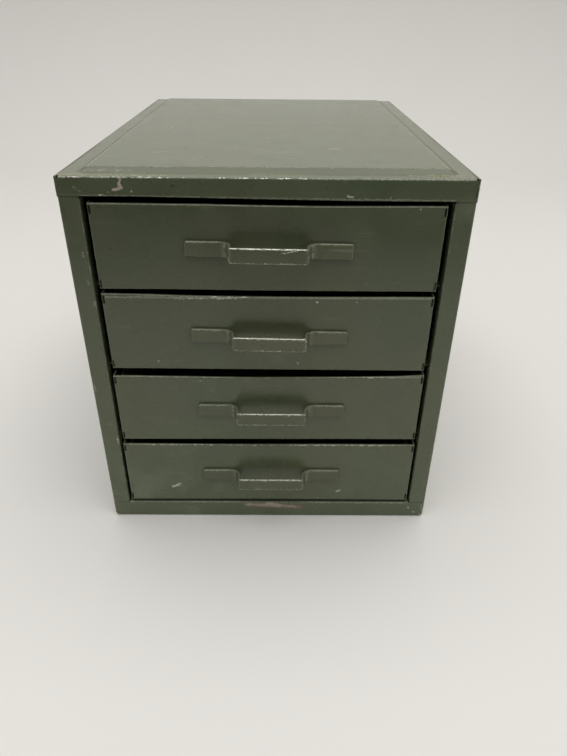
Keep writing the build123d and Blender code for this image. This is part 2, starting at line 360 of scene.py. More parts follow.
def painted_sheet(node, bend_it=None):
    """A merged copy of a packed sheet with its raw edges rounded by paint."""
    bare = frame["nodes"][node]
    piece = bpy.data.objects.new("painted_" + node, bare.data.copy())
    bpy.context.scene.collection.objects.link(piece)
    only(piece)
    bpy.ops.mesh.customdata_custom_splitnormals_clear()
    with editing(piece):
        bpy.ops.mesh.remove_doubles(threshold=MERGE_REACH)
        bpy.ops.mesh.mark_sharp(clear=True)
        bpy.ops.mesh.dissolve_limited(angle_limit=FLAT_ANGLE)
        bpy.ops.mesh.select_all(action="DESELECT")
        bpy.ops.mesh.select_mode(type="EDGE")
        bpy.ops.mesh.edges_select_sharp(sharpness=RAW_EDGE_ANGLE)
        bpy.ops.mesh.bevel(offset=PAINTED_EDGE, segments=2, clamp_overlap=True)
    if bend_it:
        bend_it(piece)
    weigh_normals(piece)
    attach(piece, bare["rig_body"])
    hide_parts(node)
    return piece


# %% [markdown]
# ## Sheets bent by use
#
# No edge of the real cabinet is dead straight any more. The lid's front flange hangs 1.6 mm lower
# at the right, and each drawer front's edges are bowed by up to 2 mm, which shows as gaps of
# uneven width. The folded sides of the two lower fronts have sprung out by about a millimetre.
# A long face has points at its ends only and can't bow, so it is first bisected at a few
# stations. Then its points move up or down by an amount that is read off between stations.

# %% Helpers that bow a sheet
def cut_at(piece, stations, chosen):
    """Cuts the chosen faces upright at each station along the width, in mm."""
    for station in stations:
        with editing(piece, "DESELECT") as mesh:
            bpy.ops.mesh.select_mode(type="FACE")
            for face in mesh.faces:
                face.select = chosen(face.calc_center_median() / MM)
            bmesh.update_edit_mesh(piece.data)
            bpy.ops.mesh.bisect(plane_co=(station * MM, 0, 0), plane_no=(1, 0, 0))


def between(stations, x):
    """Reads a value off a list of (x, value) pairs, straight between neighbours."""
    if x <= stations[0][0]:
        return stations[0][1]
    for (x0, value0), (x1, value1) in zip(stations, stations[1:]):
        if x <= x1:
            return value0 + (value1 - value0) * (x - x0) / (x1 - x0)
    return stations[-1][1]


def lift_points(piece, rise):
    """Moves each point up by what the rule gives for its place, all in mm."""
    with editing(piece) as mesh:
        for corner in mesh.verts:
            corner.co.z += rise(corner.co / MM) * MM
        bmesh.update_edit_mesh(piece.data)


# %% How far each edge is out of true
FRONT_BOWS = {
    # drawer: rise of the upper edge, then of the lower edge, each as x and rise in mm
    1: (
        ((-92, 0.3), (-36, 0.0), (-8, -0.4), (33, -0.7), (89, -0.2)),
        ((-60, 0.1), (0, -0.5), (90, -0.5)),
    ),
    2: (
        ((-99, 1.8), (-70, 1.3), (-55, 0.8), (-25, 0.4), (35, 0.2), (88, 0.6)),
        ((-90, 0.7), (80, 0.0)),
    ),
    3: (
        ((-92, -0.4), (-43, -1.0), (-11, -1.3), (54, -0.6), (86, 0.1), (102, 1.1)),
        ((-90, -0.8), (60, 0.0)),
    ),
    4: (
        ((-92, -0.4), (-30, -0.7), (40, -0.3), (92, -0.3)),
        ((-90, -0.8), (0, -0.3), (90, -0.8)),
    ),
}
SPRUNG_OUT = {3: 0.8, 4: 1.5}
SIDE_FOLD = 97  # a front's side folds lie further than this from its middle, in mm

FLANGE_DROP = ((-76, 0.0), (47, -1.6))
FLANGE_LOW = case_high.z / MM - 11.4
FLANGE_RETURN = 3.5  # the turned-back lower edge with its fold, in mm
AT_FRONT = -160  # the front sheets lie in front of this y, in mm
AT_RIGHT = 100  # the right stile lies beyond this x
STILE_END = 5  # how much of the stile's upper end moves, in mm
SLACK = 0.2
print("the flange's lower edge is packed at", round(FLANGE_LOW, 1), "mm")


# %% Rules that bend the fronts, the flange and the stile
def spread_sides(piece, extra):
    """Moves both folded sides outwards in mm, each fold in one piece."""
    with editing(piece) as mesh:
        for corner in mesh.verts:
            if abs(corner.co.x) > SIDE_FOLD * MM:
                corner.co.x += math.copysign(extra * MM, corner.co.x)
        bmesh.update_edit_mesh(piece.data)


def bow_front(number):
    """Gives the rule for one drawer front: full at its edges and nothing at half height."""
    low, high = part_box(f"drawer_{number}_front")
    middle, half = (low.z + high.z) / 2 / MM, (high.z - low.z) / 2 / MM
    upper, lower = FRONT_BOWS[number]

    def rise(place):
        share = (place.z - middle) / half
        return between(upper, place.x) * share if share > 0 else -between(lower, place.x) * share

    def bend_it(piece):
        cut_at(piece, sorted({x for x, value in upper + lower}), lambda place: True)
        with editing(piece):
            bpy.ops.mesh.bisect(plane_co=(0, 0, middle * MM), plane_no=(0, 0, 1))
        lift_points(piece, rise)
        spread_sides(piece, SPRUNG_OUT.get(number, 0))

    return bend_it


def sag_flange(piece):
    """Lets the lid's front flange hang lower towards the right."""
    cut_at(piece, [x for x, drop in FLANGE_DROP], lambda place: place.y < AT_FRONT)

    def drop_at(place):
        on_flange = place.y < AT_FRONT and place.z < FLANGE_LOW + FLANGE_RETURN
        return between(FLANGE_DROP, place.x) if on_flange else 0

    lift_points(piece, drop_at)


def shorten_stile(piece):
    """Takes the right stile's upper end down with the flange above it."""

    def drop_at(place):
        on_stile = place.x > AT_RIGHT and place.y < AT_FRONT
        at_end = FLANGE_LOW - STILE_END < place.z < FLANGE_LOW + SLACK
        return FLANGE_DROP[-1][1] if on_stile and at_end else 0

    lift_points(piece, drop_at)


# %% Dress the case and the drawers
DRAWERS = range(1, 5)
wrapper = painted_sheet("wrapper", shorten_stile)
lid = painted_sheet("lid", sag_flange)
back_panel = painted_sheet("back_panel")
fronts = [painted_sheet(f"drawer_{number}_front", bow_front(number)) for number in DRAWERS]
trays = [painted_sheet(f"drawer_{number}_tray") for number in DRAWERS]
runners = [painted_sheet(f"runner_{side}_{number}") for side in ("left", "right") for number in DRAWERS]
for piece in (wrapper, lid, back_panel, fronts[0], trays[0], runners[0]):
    print(piece.name, "has", len(piece.data.polygons), "faces")

# %% [markdown]
# ## Paint in the lid's side seams
#
# Where the lid's side flanges lie against the case sides, the round of the fold leaves a narrow
# groove. On the real cabinet filler and paint have closed it, all but the last few millimetres at
# the front corners. Without it the groove renders as a black line. A plane the size of the
# groove is bisected to a triangle and extruded along the seam. The bead then sinks a little
# here and there, as filler does when it shrinks.

# %% Fill both seams
SHEET = 1.0 * MM
GROOVE = 1.5 * MM
SEAM_END = 168.4 * MM
SEAM_STATIONS = (-140, -95, -60, -10, 45, 90, 135)
BELOW_LID = 0.02 * MM
SHRINKAGE = 0.09
RIPPLE = 0.11


def fill_seam(side):
    """One bead of filler beside the lid, on the left for -1 and the right for 1."""
    wall = side * (case_high.x - SHEET)
    top = case_high.z - BELOW_LID
    bpy.ops.object.select_all(action="DESELECT")
    middle = (wall - side * GROOVE / 2, -SEAM_END, top - GROOVE / 2)
    bpy.ops.mesh.primitive_plane_add(size=1, location=middle, rotation=(math.radians(90), 0, 0))
    bead = bpy.context.object
    bead.name = "seam_left" if side < 0 else "seam_right"
    bead.scale = (GROOVE, GROOVE, 1)
    settle(bead)
    with editing(bead):
        bpy.ops.mesh.bisect(plane_co=middle, plane_no=(side, 0, 1), clear_inner=True)
        bpy.ops.mesh.select_all(action="SELECT")
        bpy.ops.mesh.extrude_region_move(TRANSFORM_OT_translate={"value": (0, 2 * SEAM_END, 0)})
        for station in SEAM_STATIONS:
            bpy.ops.mesh.select_all(action="SELECT")
            bpy.ops.mesh.bisect(plane_co=(0, station * MM, 0), plane_no=(0, 1, 0))
        bpy.ops.mesh.select_all(action="SELECT")
        bpy.ops.mesh.normals_make_consistent(inside=False)
    lift_points(bead, lambda place: -SHRINKAGE * (1 + math.sin(RIPPLE * place.y + side)))
    weigh_normals(bead)
    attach(bead, "cabinet")
    return bead


seams = [fill_seam(side) for side in (-1, 1)]
print("seam", [round(size / MM, 2) for size in seams[0].dimensions], "mm")

# %% [markdown]
# ## Strap pulls
#
# A pull is one flat steel strap. Its two feet lie on the drawer front, and between them it is
# bent out, along and back to make the grip. The strap's end section is drawn first: a plane
# with its corners rounded. Then the section travels as the bar does in the bending jig: it
# grows out of the strap's rounded end, is extruded along each straight stretch and is spun
# round each bend. Only the left half is made. It is mirrored at the middle of the grip, so both
# sides of the jig agree.

# %% Sizes of the strap and the jig
pull_low, pull_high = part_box("drawer_1_pull")
STRAP_THICKNESS = 2.4 * MM
STRAP_HALF_LENGTH = (pull_high.x - pull_low.x) / 2
STRAP_HEIGHT = pull_high.z - pull_low.z
GRIP_HALF = 24.5 * MM
GRIP_REACH = pull_high.y - pull_low.y
FOOT_BEND = 5.5 * MM
GRIP_BEND = 1.2 * MM
STRAP_EDGE = 0.85 * MM
STRAP_CORNER = 1.3 * MM
CORNER_STEPS = 5
EDGE_STEPS = 5
QUARTER = math.radians(90)
BEND_STEPS = 10


def draw_on(x=0.0, y=0.0):
    """Extrudes the selected section in a straight line."""
    bpy.ops.mesh.extrude_region_move(TRANSFORM_OT_translate={"value": (x, y, 0)})


def bend_on(centre_x, centre_y, angle):
    """Spins the selected section round an upright axis."""
    bpy.ops.mesh.spin(steps=BEND_STEPS, angle=angle, center=(centre_x, centre_y, 0), axis=(0, 0, 1))


foot_line = FRONT - STRAP_THICKNESS / 2
leg_line = -GRIP_HALF + STRAP_THICKNESS / 2
foot_centre_x = leg_line - STRAP_THICKNESS / 2 - FOOT_BEND
foot_centre_y = foot_line - STRAP_THICKNESS / 2 - FOOT_BEND
grip_line = FRONT - GRIP_REACH + STRAP_THICKNESS / 2
grip_centre_x = leg_line + STRAP_THICKNESS / 2 + GRIP_BEND
grip_centre_y = grip_line + STRAP_THICKNESS / 2 + GRIP_BEND
print("leg stands at", round(leg_line / MM, 1), "mm, grip at", round(grip_line / MM, 1), "mm")


def end_size(step):
    """Half thickness, half height and place of the section on the strap's rounded end."""
    turn = QUARTER * step / CORNER_STEPS
    half_thickness = STRAP_THICKNESS / 2 - STRAP_EDGE * (1 - math.sin(turn))
    half_height = STRAP_HEIGHT / 2 - STRAP_CORNER * (1 - math.sin(turn))
    return half_thickness, half_height, STRAP_CORNER * (1 - math.cos(turn))


# %% Bend half a strap
bpy.ops.object.select_all(action="DESELECT")
bpy.ops.mesh.primitive_plane_add(
    size=1, location=(-STRAP_HALF_LENGTH, foot_line, 0), rotation=(0, QUARTER, 0)
)
strap = bpy.context.object
strap.name = "strap"
strap.scale = (STRAP_HEIGHT, STRAP_THICKNESS, 1)
settle(strap)
with editing(strap):
    bpy.ops.mesh.bevel(offset=STRAP_EDGE, segments=EDGE_STEPS, affect="VERTICES")
    bpy.ops.mesh.select_all(action="SELECT")
    thin, low, place = end_size(0)
    section_middle = (-STRAP_HALF_LENGTH, foot_line, 0)
    bpy.ops.transform.resize(
        value=(1, 2 * thin / STRAP_THICKNESS, 2 * low / STRAP_HEIGHT), center_override=section_middle
    )
    for step in range(1, CORNER_STEPS + 1):
        thick, high, further = end_size(step)
        draw_on(x=further - place)
        bpy.ops.transform.resize(value=(1, thick / thin, high / low), center_override=section_middle)
        thin, low, place = thick, high, further
    draw_on(x=foot_centre_x + STRAP_HALF_LENGTH - place)
    bend_on(foot_centre_x, foot_centre_y, QUARTER)
    draw_on(y=grip_centre_y - foot_centre_y)
    bend_on(grip_centre_x, grip_centre_y, -QUARTER)
    draw_on(x=-grip_centre_x)
    bpy.ops.mesh.delete(type="FACE")
print("half strap", [round(size / MM, 2) for size in strap.dimensions], "mm")

# %% Mirror the strap and close it
only(strap)
mirror = strap.modifiers.new("other_half", "MIRROR")
mirror.use_clip = True
bpy.ops.object.modifier_apply(modifier=mirror.name)
with editing(strap):
    bpy.ops.mesh.remove_doubles(threshold=0.01 * MM)
    bpy.ops.mesh.normals_make_consistent(inside=False)
weigh_normals(strap)
strap_low = min(corner.co.y for corner in strap.data.vertices)
print("grip stands at", round(strap_low / MM, 2), "mm, packed at", round(pull_low.y / MM, 2), "mm")

# %% Set one pull on each drawer
PULL_PLACES = {
    # drawer: how far the pull sits right of its place and above it in mm, and its tilt in
    # degrees with the left end up
    1: (0.5, 2.0, 0.74),
    2: (0.6, 1.6, 1.0),
    3: (1.7, 1.6, 0.25),
    4: (1.4, 1.2, 0.1),
}
pulls = []
for number in DRAWERS:
    low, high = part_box(f"drawer_{number}_pull")
    aside, rise, tilt = PULL_PLACES[number]
    pull = bpy.data.objects.new(f"strap_pull_{number}", strap.data.copy())
    bpy.context.scene.collection.objects.link(pull)
    pull.location = (aside * MM, 0, (low.z + high.z) / 2 + rise * MM)
    pull.rotation_euler.y = math.radians(tilt)
    settle(pull)
    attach(pull, f"drawer_{number}")
    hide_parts(f"drawer_{number}_pull")
    pulls.append(pull)
bpy.data.objects.remove(strap)
print("pulls at heights", [round(pull.data.vertices[0].co.z / MM, 1) for pull in pulls], "mm")

# %% [markdown]
# ## Old enamel
#
# The cabinet was sprayed with a semi-gloss olive enamel, many years ago. Up close the coat has
# an orange-peel skin in lumps of a millimetre or two, the sheet below it is not quite flat, and
# age has turned it browner in clouds. This could be one long tree in each material. Every
# part wears the same paint, though, so it is a node group that puts out a colour, a roughness
# and a height in millimetres.

# %% Node group for the aged coat
BROWNER = (1.22, 1.03, 0.96)
PEEL_HEIGHT = 0.012
WAVE_HEIGHT = 0.14


def noise(tree, place, scale, detail, roughness=0.5):
    """The outputs of one noise, its scale in lumps a metre."""
    inputs = {"Vector": place, "Scale": scale, "Detail": detail, "Roughness": roughness}
    return put(tree, "TexNoise", inputs).outputs


tree, given, result = new_group(
    "old_enamel",
    [("Place", "Vector", (0, 0, 0)), ("Tone", "Color", (0.07, 0.08, 0.05, 1)), ("Browning", "Float", 0.5)],
    [("Colour", "Color"), ("Roughness", "Float"), ("Height", "Float"), ("Patches", "Float")],
)
clouds = noise(tree, given["Place"], 9.0, 3.0)["Fac"]
patches = noise(tree, given["Place"], 42.0, 5.0)["Fac"]
grain = noise(tree, given["Place"], 1300.0, 2.0)["Fac"]
peel = noise(tree, given["Place"], 620.0, 1.0)["Fac"]
waves = noise(tree, given["Place"], 15.0, 1.0)["Fac"]
brown = put(tree, "VectorMath", {0: given["Tone"], 1: BROWNER}, operation="MULTIPLY").outputs[0]
brownness = reckon(tree, "MULTIPLY", ramp(tree, clouds, 0.40, 0.62), given["Browning"])
aged = blend(tree, brownness, given["Tone"], brown)
cloudiness = ramp(tree, patches, 0.3, 0.7, 0.93, 1.07)
cloudiness = reckon(tree, "MULTIPLY", cloudiness, ramp(tree, grain, 0.3, 0.7, 0.90, 1.10))
coat = put(tree, "VectorMath", {0: aged, "Scale": cloudiness}, operation="SCALE").outputs[0]
tree.links.new(coat, result["Colour"])
patch_gloss = ramp(tree, patches, 0.34, 0.66, -0.035, 0.045)
cloud_gloss = ramp(tree, clouds, 0.35, 0.65, -0.02, 0.02)
tree.links.new(reckon(tree, "ADD", patch_gloss, cloud_gloss), result["Roughness"])
skin = reckon(tree, "MULTIPLY", peel, PEEL_HEIGHT)
swell = reckon(tree, "MULTIPLY", waves, WAVE_HEIGHT)
tree.links.new(reckon(tree, "ADD", skin, swell), result["Height"])
tree.links.new(patches, result["Patches"])
old_enamel = tree
print("old_enamel has", len(old_enamel.nodes), "nodes")

# %% [markdown]
# ## Worn bends
#
# Hands and neighbouring boxes rub the paint thin wherever the sheet turns a corner. On a flat
# sheet the surface looks straight along one axis; on a bend it looks between two. So the largest
# part of its direction, taken from one, is a mask of every bend and dressed edge, with no need
# to paint it by hand. A noise breaks the mask up, because wear is never even.

# %% Node group for worn bends
BEND_STARTS, BEND_FULL = 0.11, 0.22
RUB_SOFTNESS = 0.08

tree, given, result = new_group(
    "worn_bends",
    [("Place", "Vector", (0, 0, 0)), ("Facing", "Vector", (0, 0, 1)), ("Spared", "Float", 0.5)],
    [("Mask", "Float")],
)
facing = put(tree, "VectorMath", {0: given["Facing"]}, operation="ABSOLUTE").outputs[0]
parts = put(tree, "SeparateXYZ", {"Vector": facing}).outputs
straightest = reckon(tree, "MAXIMUM", reckon(tree, "MAXIMUM", parts["X"], parts["Y"]), parts["Z"])
bend = ramp(tree, reckon(tree, "SUBTRACT", 1.0, straightest), BEND_STARTS, BEND_FULL)
rubbing = noise(tree, given["Place"], 170.0, 6.0, 0.65)["Fac"]
kept = reckon(tree, "SUBTRACT", rubbing, given["Spared"])
tree.links.new(reckon(tree, "MULTIPLY", bend, ramp(tree, kept, 0.0, RUB_SOFTNESS)), result["Mask"])
worn_bends = tree
print("worn_bends has", len(worn_bends.nodes), "nodes")

# %% [markdown]
# ## Fine scratches
#
# Years on a bench leave hair scratches in the paint. A noise that is squeezed hard along one
# tilted axis turns into thin streaks on every face, and two of them at different tilts look
# like scratches from different days. Only the highest peaks are kept, and only in patches.

# %% Node group for hair scratches
HAIR_DIRECTIONS = (
    # turn in radians, then how hard the noise is squeezed along each axis
    ((0.35, 0.55, 0.20), (16, 16, 520)),
    ((-0.60, 0.25, 0.90), (12, 640, 12)),
)

tree, given, result = new_group(
    "hair_scratches", [("Place", "Vector", (0, 0, 0)), ("Patches", "Float", 0.5)], [("Mask", "Float")]
)
streaks = []
for turn, squeeze in HAIR_DIRECTIONS:
    turned = put(tree, "Mapping", {"Vector": given["Place"], "Rotation": turn, "Scale": squeeze}).outputs[0]
    streaks.append(ramp(tree, noise(tree, turned, 1.0, 2.0)["Fac"], 0.67, 0.74))
either = reckon(tree, "MAXIMUM", *streaks)
tree.links.new(reckon(tree, "MULTIPLY", either, ramp(tree, given["Patches"], 0.45, 0.58)), result["Mask"])
hair_scratches = tree
print("hair_scratches has", len(hair_scratches.nodes), "nodes")

# %% [markdown]
# ## Spot welds
#
# The runners are welded to the case sides, and each weld leaves a shallow dimple outside, 5 mm
# wide. The rows stand behind the middle of each runner and so are as far apart as the drawers.
# Wrapping the height at that pitch and the depth at the weld spacing gives all dimples from one
# small formula, where modelling each of them would take thousands of faces.

# %% Node group for spot welds
weld_rows = [sum(corner.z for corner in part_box(f"runner_left_{number}")) / 2 for number in DRAWERS]
WELD_ROW = weld_rows[-1]
WELD_PITCH = weld_rows[-2] - weld_rows[-1]
WELD_TOP = weld_rows[0] + WELD_PITCH / 2
WELD_SPACING = 52 * MM
WELD_END = 150 * MM
WELD_RIM, WELD_FLOOR = 2.9 * MM, 1.7 * MM
SIDEWAYS = (0.9, 0.95)

tree, given, result = new_group(
    "spot_welds", [("Place", "Vector", (0, 0, 0)), ("Facing", "Vector", (0, 0, 1))], [("Dimple", "Float")]
)
at = put(tree, "SeparateXYZ", {"Vector": given["Place"]}).outputs
offsets = []
for value, first, spacing in ((at["Y"], 0.0, WELD_SPACING), (at["Z"], WELD_ROW, WELD_PITCH)):
    shifted = reckon(tree, "SUBTRACT", value, first - spacing / 2)
    wrapped = put(tree, "Math", {0: shifted, 1: spacing, 2: 0.0}, operation="WRAP").outputs[0]
    offset = reckon(tree, "SUBTRACT", wrapped, spacing / 2)
    offsets.append(reckon(tree, "MULTIPLY", offset, offset))
distance = reckon(tree, "SQRT", reckon(tree, "ADD", *offsets), 0.0)
dimple = ramp(tree, distance, WELD_RIM, WELD_FLOOR)
low_enough = ramp(tree, at["Z"], WELD_TOP, WELD_TOP - MM)
not_at_end = ramp(tree, reckon(tree, "ABSOLUTE", at["Y"], 0.0), WELD_END, WELD_END - MM)
outwards = put(tree, "SeparateXYZ", {"Vector": given["Facing"]}).outputs["X"]
outside = ramp(tree, reckon(tree, "ABSOLUTE", outwards, 0.0), *SIDEWAYS)
for limit in (low_enough, not_at_end, outside):
    dimple = reckon(tree, "MULTIPLY", dimple, limit)
tree.links.new(dimple, result["Dimple"])
spot_welds = tree
print("weld rows at", [round(row / MM, 1) for row in weld_rows], "mm")

# %% [markdown]
# ## Chips and scratches
#
# The picture shows dozens of single marks: chips along the lid's front edge, a hooked scrape on
# the flange, a rusty graze on the rail. Each is placed one by one, from its start to its end in
# millimetres, with a width. One group turns that into a mask: it finds the nearest point of the
# mark's middle line and measures how far away that is. A noise shifts the place beforehand,
# which makes the outline ragged, and a second noise can break a mark into crumbs. The marks are
# chained, each taking the ones before it, and only the last value is cut off at 0 and 1, so
# that the renderer never has to hold many of them at once.

# %% Node group for ragged places
RAGGED_BY = 3.0 * MM

tree, given, result = new_group(
    "ragged", [("Place", "Vector", (0, 0, 0))], [("Place", "Vector"), ("Crumbs", "Float")]
)
torn = noise(tree, given["Place"], 480.0, 4.0, 0.6)["Color"]
centred = put(tree, "VectorMath", {0: torn, 1: (0.5, 0.5, 0.5)}, operation="SUBTRACT").outputs[0]
shift = put(tree, "VectorMath", {0: centred, "Scale": RAGGED_BY}, operation="SCALE").outputs[0]
tree.links.new(put(tree, "VectorMath", {0: given["Place"], 1: shift}).outputs[0], result["Place"])
tree.links.new(noise(tree, given["Place"], 760.0, 3.0, 0.6)["Fac"], result["Crumbs"])
ragged = tree
print("ragged has", len(ragged.nodes), "nodes")

# %% Node group for one mark
EDGE_SHARPNESS = 3.0
CRUMB_SHARPNESS = 25.0

tree, given, result = new_group(
    "mark",
    [
        ("Place", "Vector", (0, 0, 0)), ("Crumbs", "Float", 1.0), ("Start", "Vector", (0, 0, 0)),
        ("Run", "Vector", (0, 0, 0)), ("Half Width", "Float", 0.001), ("Broken", "Float", 0.0),
        ("Others", "Float", 0.0),
    ],
    [("Marks", "Float")],
)
run = given["Run"]
from_start = put(tree, "VectorMath", {0: given["Place"], 1: given["Start"]}, operation="SUBTRACT").outputs[0]
shadow = put(tree, "VectorMath", {0: from_start, 1: run}, operation="DOT_PRODUCT").outputs["Value"]
length = put(tree, "VectorMath", {0: run, 1: run}, operation="DOT_PRODUCT").outputs["Value"]
share = reckon(tree, "MAXIMUM", reckon(tree, "DIVIDE", shadow, length), 0.0)
share = reckon(tree, "MINIMUM", share, 1.0)
nearest = put(tree, "VectorMath", {0: run, "Scale": share}, operation="SCALE").outputs[0]
away = put(tree, "VectorMath", {0: from_start, 1: nearest}, operation="DISTANCE").outputs["Value"]
inside = reckon(tree, "SUBTRACT", 1.0, reckon(tree, "DIVIDE", away, given["Half Width"]))
left_over = reckon(tree, "SUBTRACT", given["Crumbs"], given["Broken"])
whole = reckon(tree, "MULTIPLY", inside, EDGE_SHARPNESS)
crumbled = reckon(tree, "MULTIPLY", left_over, CRUMB_SHARPNESS)
own_mark = reckon(tree, "MINIMUM", whole, crumbled)
tree.links.new(reckon(tree, "MAXIMUM", own_mark, given["Others"]), result["Marks"])
mark_group = tree
print("mark has", len(mark_group.nodes), "nodes")

# %% Helper that chains marks
def all_marks(tree, place, crumbs, marks):
    """The union of the masks of a list of marks: start, end and width in mm, then how broken."""
    union = 0.0
    for start, end, width, broken in marks:
        start, end = Vector(start) * MM, Vector(end) * MM
        own = {
            "Place": place, "Crumbs": crumbs, "Start": start, "Run": end - start,
            "Half Width": width * MM / 2, "Broken": broken, "Others": union,
        }
        union = use(tree, mark_group, own)["Marks"]
    return ramp(tree, union, 0.0, 1.0)


# %% [markdown]
# ## Dust and painted shade
#
# Dust settles on what faces up and turns it paler. The lid's pressed border, where it slopes, gets
# a painted shade that is dark and matt. The upright sheets get a painted shade that is darker
# towards the top and the left, most of it on the upper drawers. All three follow from which way
# the surface looks and how high it is, so none of them has to be drawn mark by mark.

# %% Colours of paint, dust and painted shade
OLIVE = (0.071, 0.085, 0.045, 1)
FADED_OLIVE = (0.083, 0.105, 0.058, 1)
DUST = (0.40, 0.385, 0.31, 1)
SHADE_TONE = (0.030, 0.034, 0.018, 1)
SLOPE_SHADE = (0.060, 0.052, 0.020, 1)

# %% Helpers for dust and painted shade
LEVEL = (0.93, 0.995)
SLOPE_STARTS, SLOPE_ENDS = (0.84, 0.89), (0.93, 0.97)
SLOPE_SHADE_SHARE = 0.35
UPRIGHT = (0.2, 0.8)
SHADE_HEIGHT = (0.02, 0.24)
SHADE_ACROSS = (-0.1, 0.1)


def with_dust(tree, colour, upward, patches, dust):
    """A film of dust on level faces, a little uneven."""
    film = ramp(tree, upward, *LEVEL, 0.0, dust)
    film = reckon(tree, "MULTIPLY", film, ramp(tree, patches, 0.3, 0.7, 0.8, 1.2))
    return blend(tree, film, colour, DUST)


def shade_on_slopes(tree, upward):
    """How much painted shade lies on a gentle slope."""
    starts = ramp(tree, upward, *SLOPE_STARTS)
    return reckon(tree, "MULTIPLY", starts, ramp(tree, upward, *SLOPE_ENDS, SLOPE_SHADE_SHARE, 0.0))


def with_painted_shade(tree, colour, place, upward, painted_shade):
    """Painted shade on upright faces, darker towards the top and the left."""
    across, _, height_up = put(tree, "SeparateXYZ", {"Vector": place}).outputs
    shaded = ramp(tree, height_up, *SHADE_HEIGHT, 0.0, painted_shade)
    shaded = reckon(tree, "MULTIPLY", shaded, ramp(tree, upward, *UPRIGHT, 1.0, 0.0))
    shaded = reckon(tree, "MULTIPLY", shaded, ramp(tree, across, *SHADE_ACROSS, 1.05, 0.72))
    return blend(tree, shaded, colour, SHADE_TONE)


# %% [markdown]
# ## One wiring for every painted part
#
# Case, drawers and pulls differ in their marks and in how rubbed they are, not in their paint. So
# one function wires them all. It lays the finishes over each other in this order: enamel, a film
# of dust, painted shade on slopes and on upright faces, thinned paint on the bends with some
# painted highlight lines, rust and pink primer in the chips, and bare steel last. Steel alone is
# metallic. Each layer's mask also drives its roughness.

# %% What shows through the paint
LAYERS = {
    # name: colour, roughness and metallic
    # the rubbed and pale layers also carry painted highlight lines along some folds and edges
    "rubbed_and_highlit": ((0.215, 0.225, 0.165, 1), 0.34, 0.0),
    "stain": ((0.25, 0.225, 0.135, 1), 0.45, 0.0),
    "dark": ((0.018, 0.018, 0.014, 1), 0.60, 0.0),
    "rust": ((0.200, 0.142, 0.098, 1), 0.75, 0.0),
    "primer": ((0.340, 0.290, 0.235, 1), 0.62, 0.0),
    "pale_and_highlit": ((0.480, 0.470, 0.400, 1), 0.50, 0.0),
    "steel": ((0.50, 0.49, 0.44, 1), 0.34, 1.0),
}
HAIR_SHARE = 0.4
RUB_SHARE = 0.75


def thinned_and_highlit(tree, own_rubs_and_highlights, place, facing, patches, spared):
    """Worn bends, hair scratches and a part's own rubs and painted highlight lines in one mask."""
    rub_and_highlight_mask = use(tree, worn_bends, {"Place": place, "Facing": facing, "Spared": spared})["Mask"]
    if own_rubs_and_highlights is not None:
        rub_and_highlight_mask = reckon(tree, "MAXIMUM", rub_and_highlight_mask, own_rubs_and_highlights)
    hairs = use(tree, hair_scratches, {"Place": place, "Patches": patches})["Mask"]
    rub_and_highlight_mask = reckon(tree, "MAXIMUM", rub_and_highlight_mask, reckon(tree, "MULTIPLY", hairs, HAIR_SHARE))
    return reckon(tree, "MULTIPLY", rub_and_highlight_mask, RUB_SHARE)


# %% Function that wires an enamelled part
TOP_POLISH = 0.08
SLOPE_ROUGHNESS = 0.35
DIMPLE_DEPTH = 0.10
DIMPLE_SHADE = 0.25


def enamelled(
    name, marks, tone=OLIVE, browning=0.5, roughness=0.27, spared=0.52, painted_shade=0.0, dust=0.135, welded=False
):
    """A material of aged enamel with its own marks."""
    material, tree, out = new_material(name)
    finder = put(tree, "TexCoord").outputs
    place, facing = finder["Object"], finder["Normal"]
    coat = use(tree, old_enamel, {"Place": place, "Tone": tone, "Browning": browning})
    torn = use(tree, ragged, {"Place": place})
    height = coat["Height"]
    upward = put(tree, "SeparateXYZ", {"Vector": facing}).outputs["Z"]
    polish = ramp(tree, upward, 0.2, 0.95, roughness, roughness - TOP_POLISH)
    shine = reckon(tree, "ADD", coat["Roughness"], polish)
    colour = with_dust(tree, coat["Colour"], upward, coat["Patches"], dust)
    # painted shade on gentle slopes, which are also made matt
    slope_shade = shade_on_slopes(tree, upward)
    colour = blend(tree, slope_shade, colour, SLOPE_SHADE)
    shine = reckon(tree, "ADD", shine, reckon(tree, "MULTIPLY", slope_shade, SLOPE_ROUGHNESS))
    # painted shade on the upright faces, darker towards the top and the left
    if painted_shade:
        colour = with_painted_shade(tree, colour, place, upward, painted_shade)
    metal = 0.0
    for layer, (shade, layer_roughness, layer_metal) in LAYERS.items():
        own_marks = marks.get(layer)
        mask = all_marks(tree, torn["Place"], torn["Crumbs"], own_marks) if own_marks else None
        if layer == "rubbed_and_highlit":
            mask = thinned_and_highlit(tree, mask, place, facing, coat["Patches"], spared)
        if mask is None:
            continue
        colour = blend(tree, mask, colour, shade)
        shine = reckon(tree, "ADD", shine, reckon(tree, "MULTIPLY", mask, layer_roughness - roughness))
        if layer_metal:
            metal = mask
    if welded:
        dimple = use(tree, spot_welds, {"Place": place, "Facing": facing})["Dimple"]
        height = reckon(tree, "SUBTRACT", height, reckon(tree, "MULTIPLY", dimple, DIMPLE_DEPTH))
        # each weld dimple is darkened a little: painted shade in the recess
        colour = blend(tree, reckon(tree, "MULTIPLY", dimple, DIMPLE_SHADE), colour, SHADE_TONE)
    shader = put(tree, "BsdfPrincipled", {"Base Color": colour, "Roughness": shine, "Metallic": metal})
    relief = put(tree, "Bump", {"Height": height, "Distance": MM, "Strength": 1.0})
    tree.links.new(relief.outputs[0], shader.inputs["Normal"])
    tree.links.new(shader.outputs[0], out.inputs["Surface"])
    count = sum(len(group) for group in marks.values())
    print(name, "has", count, "marks and", len(tree.nodes), "nodes")
    return material


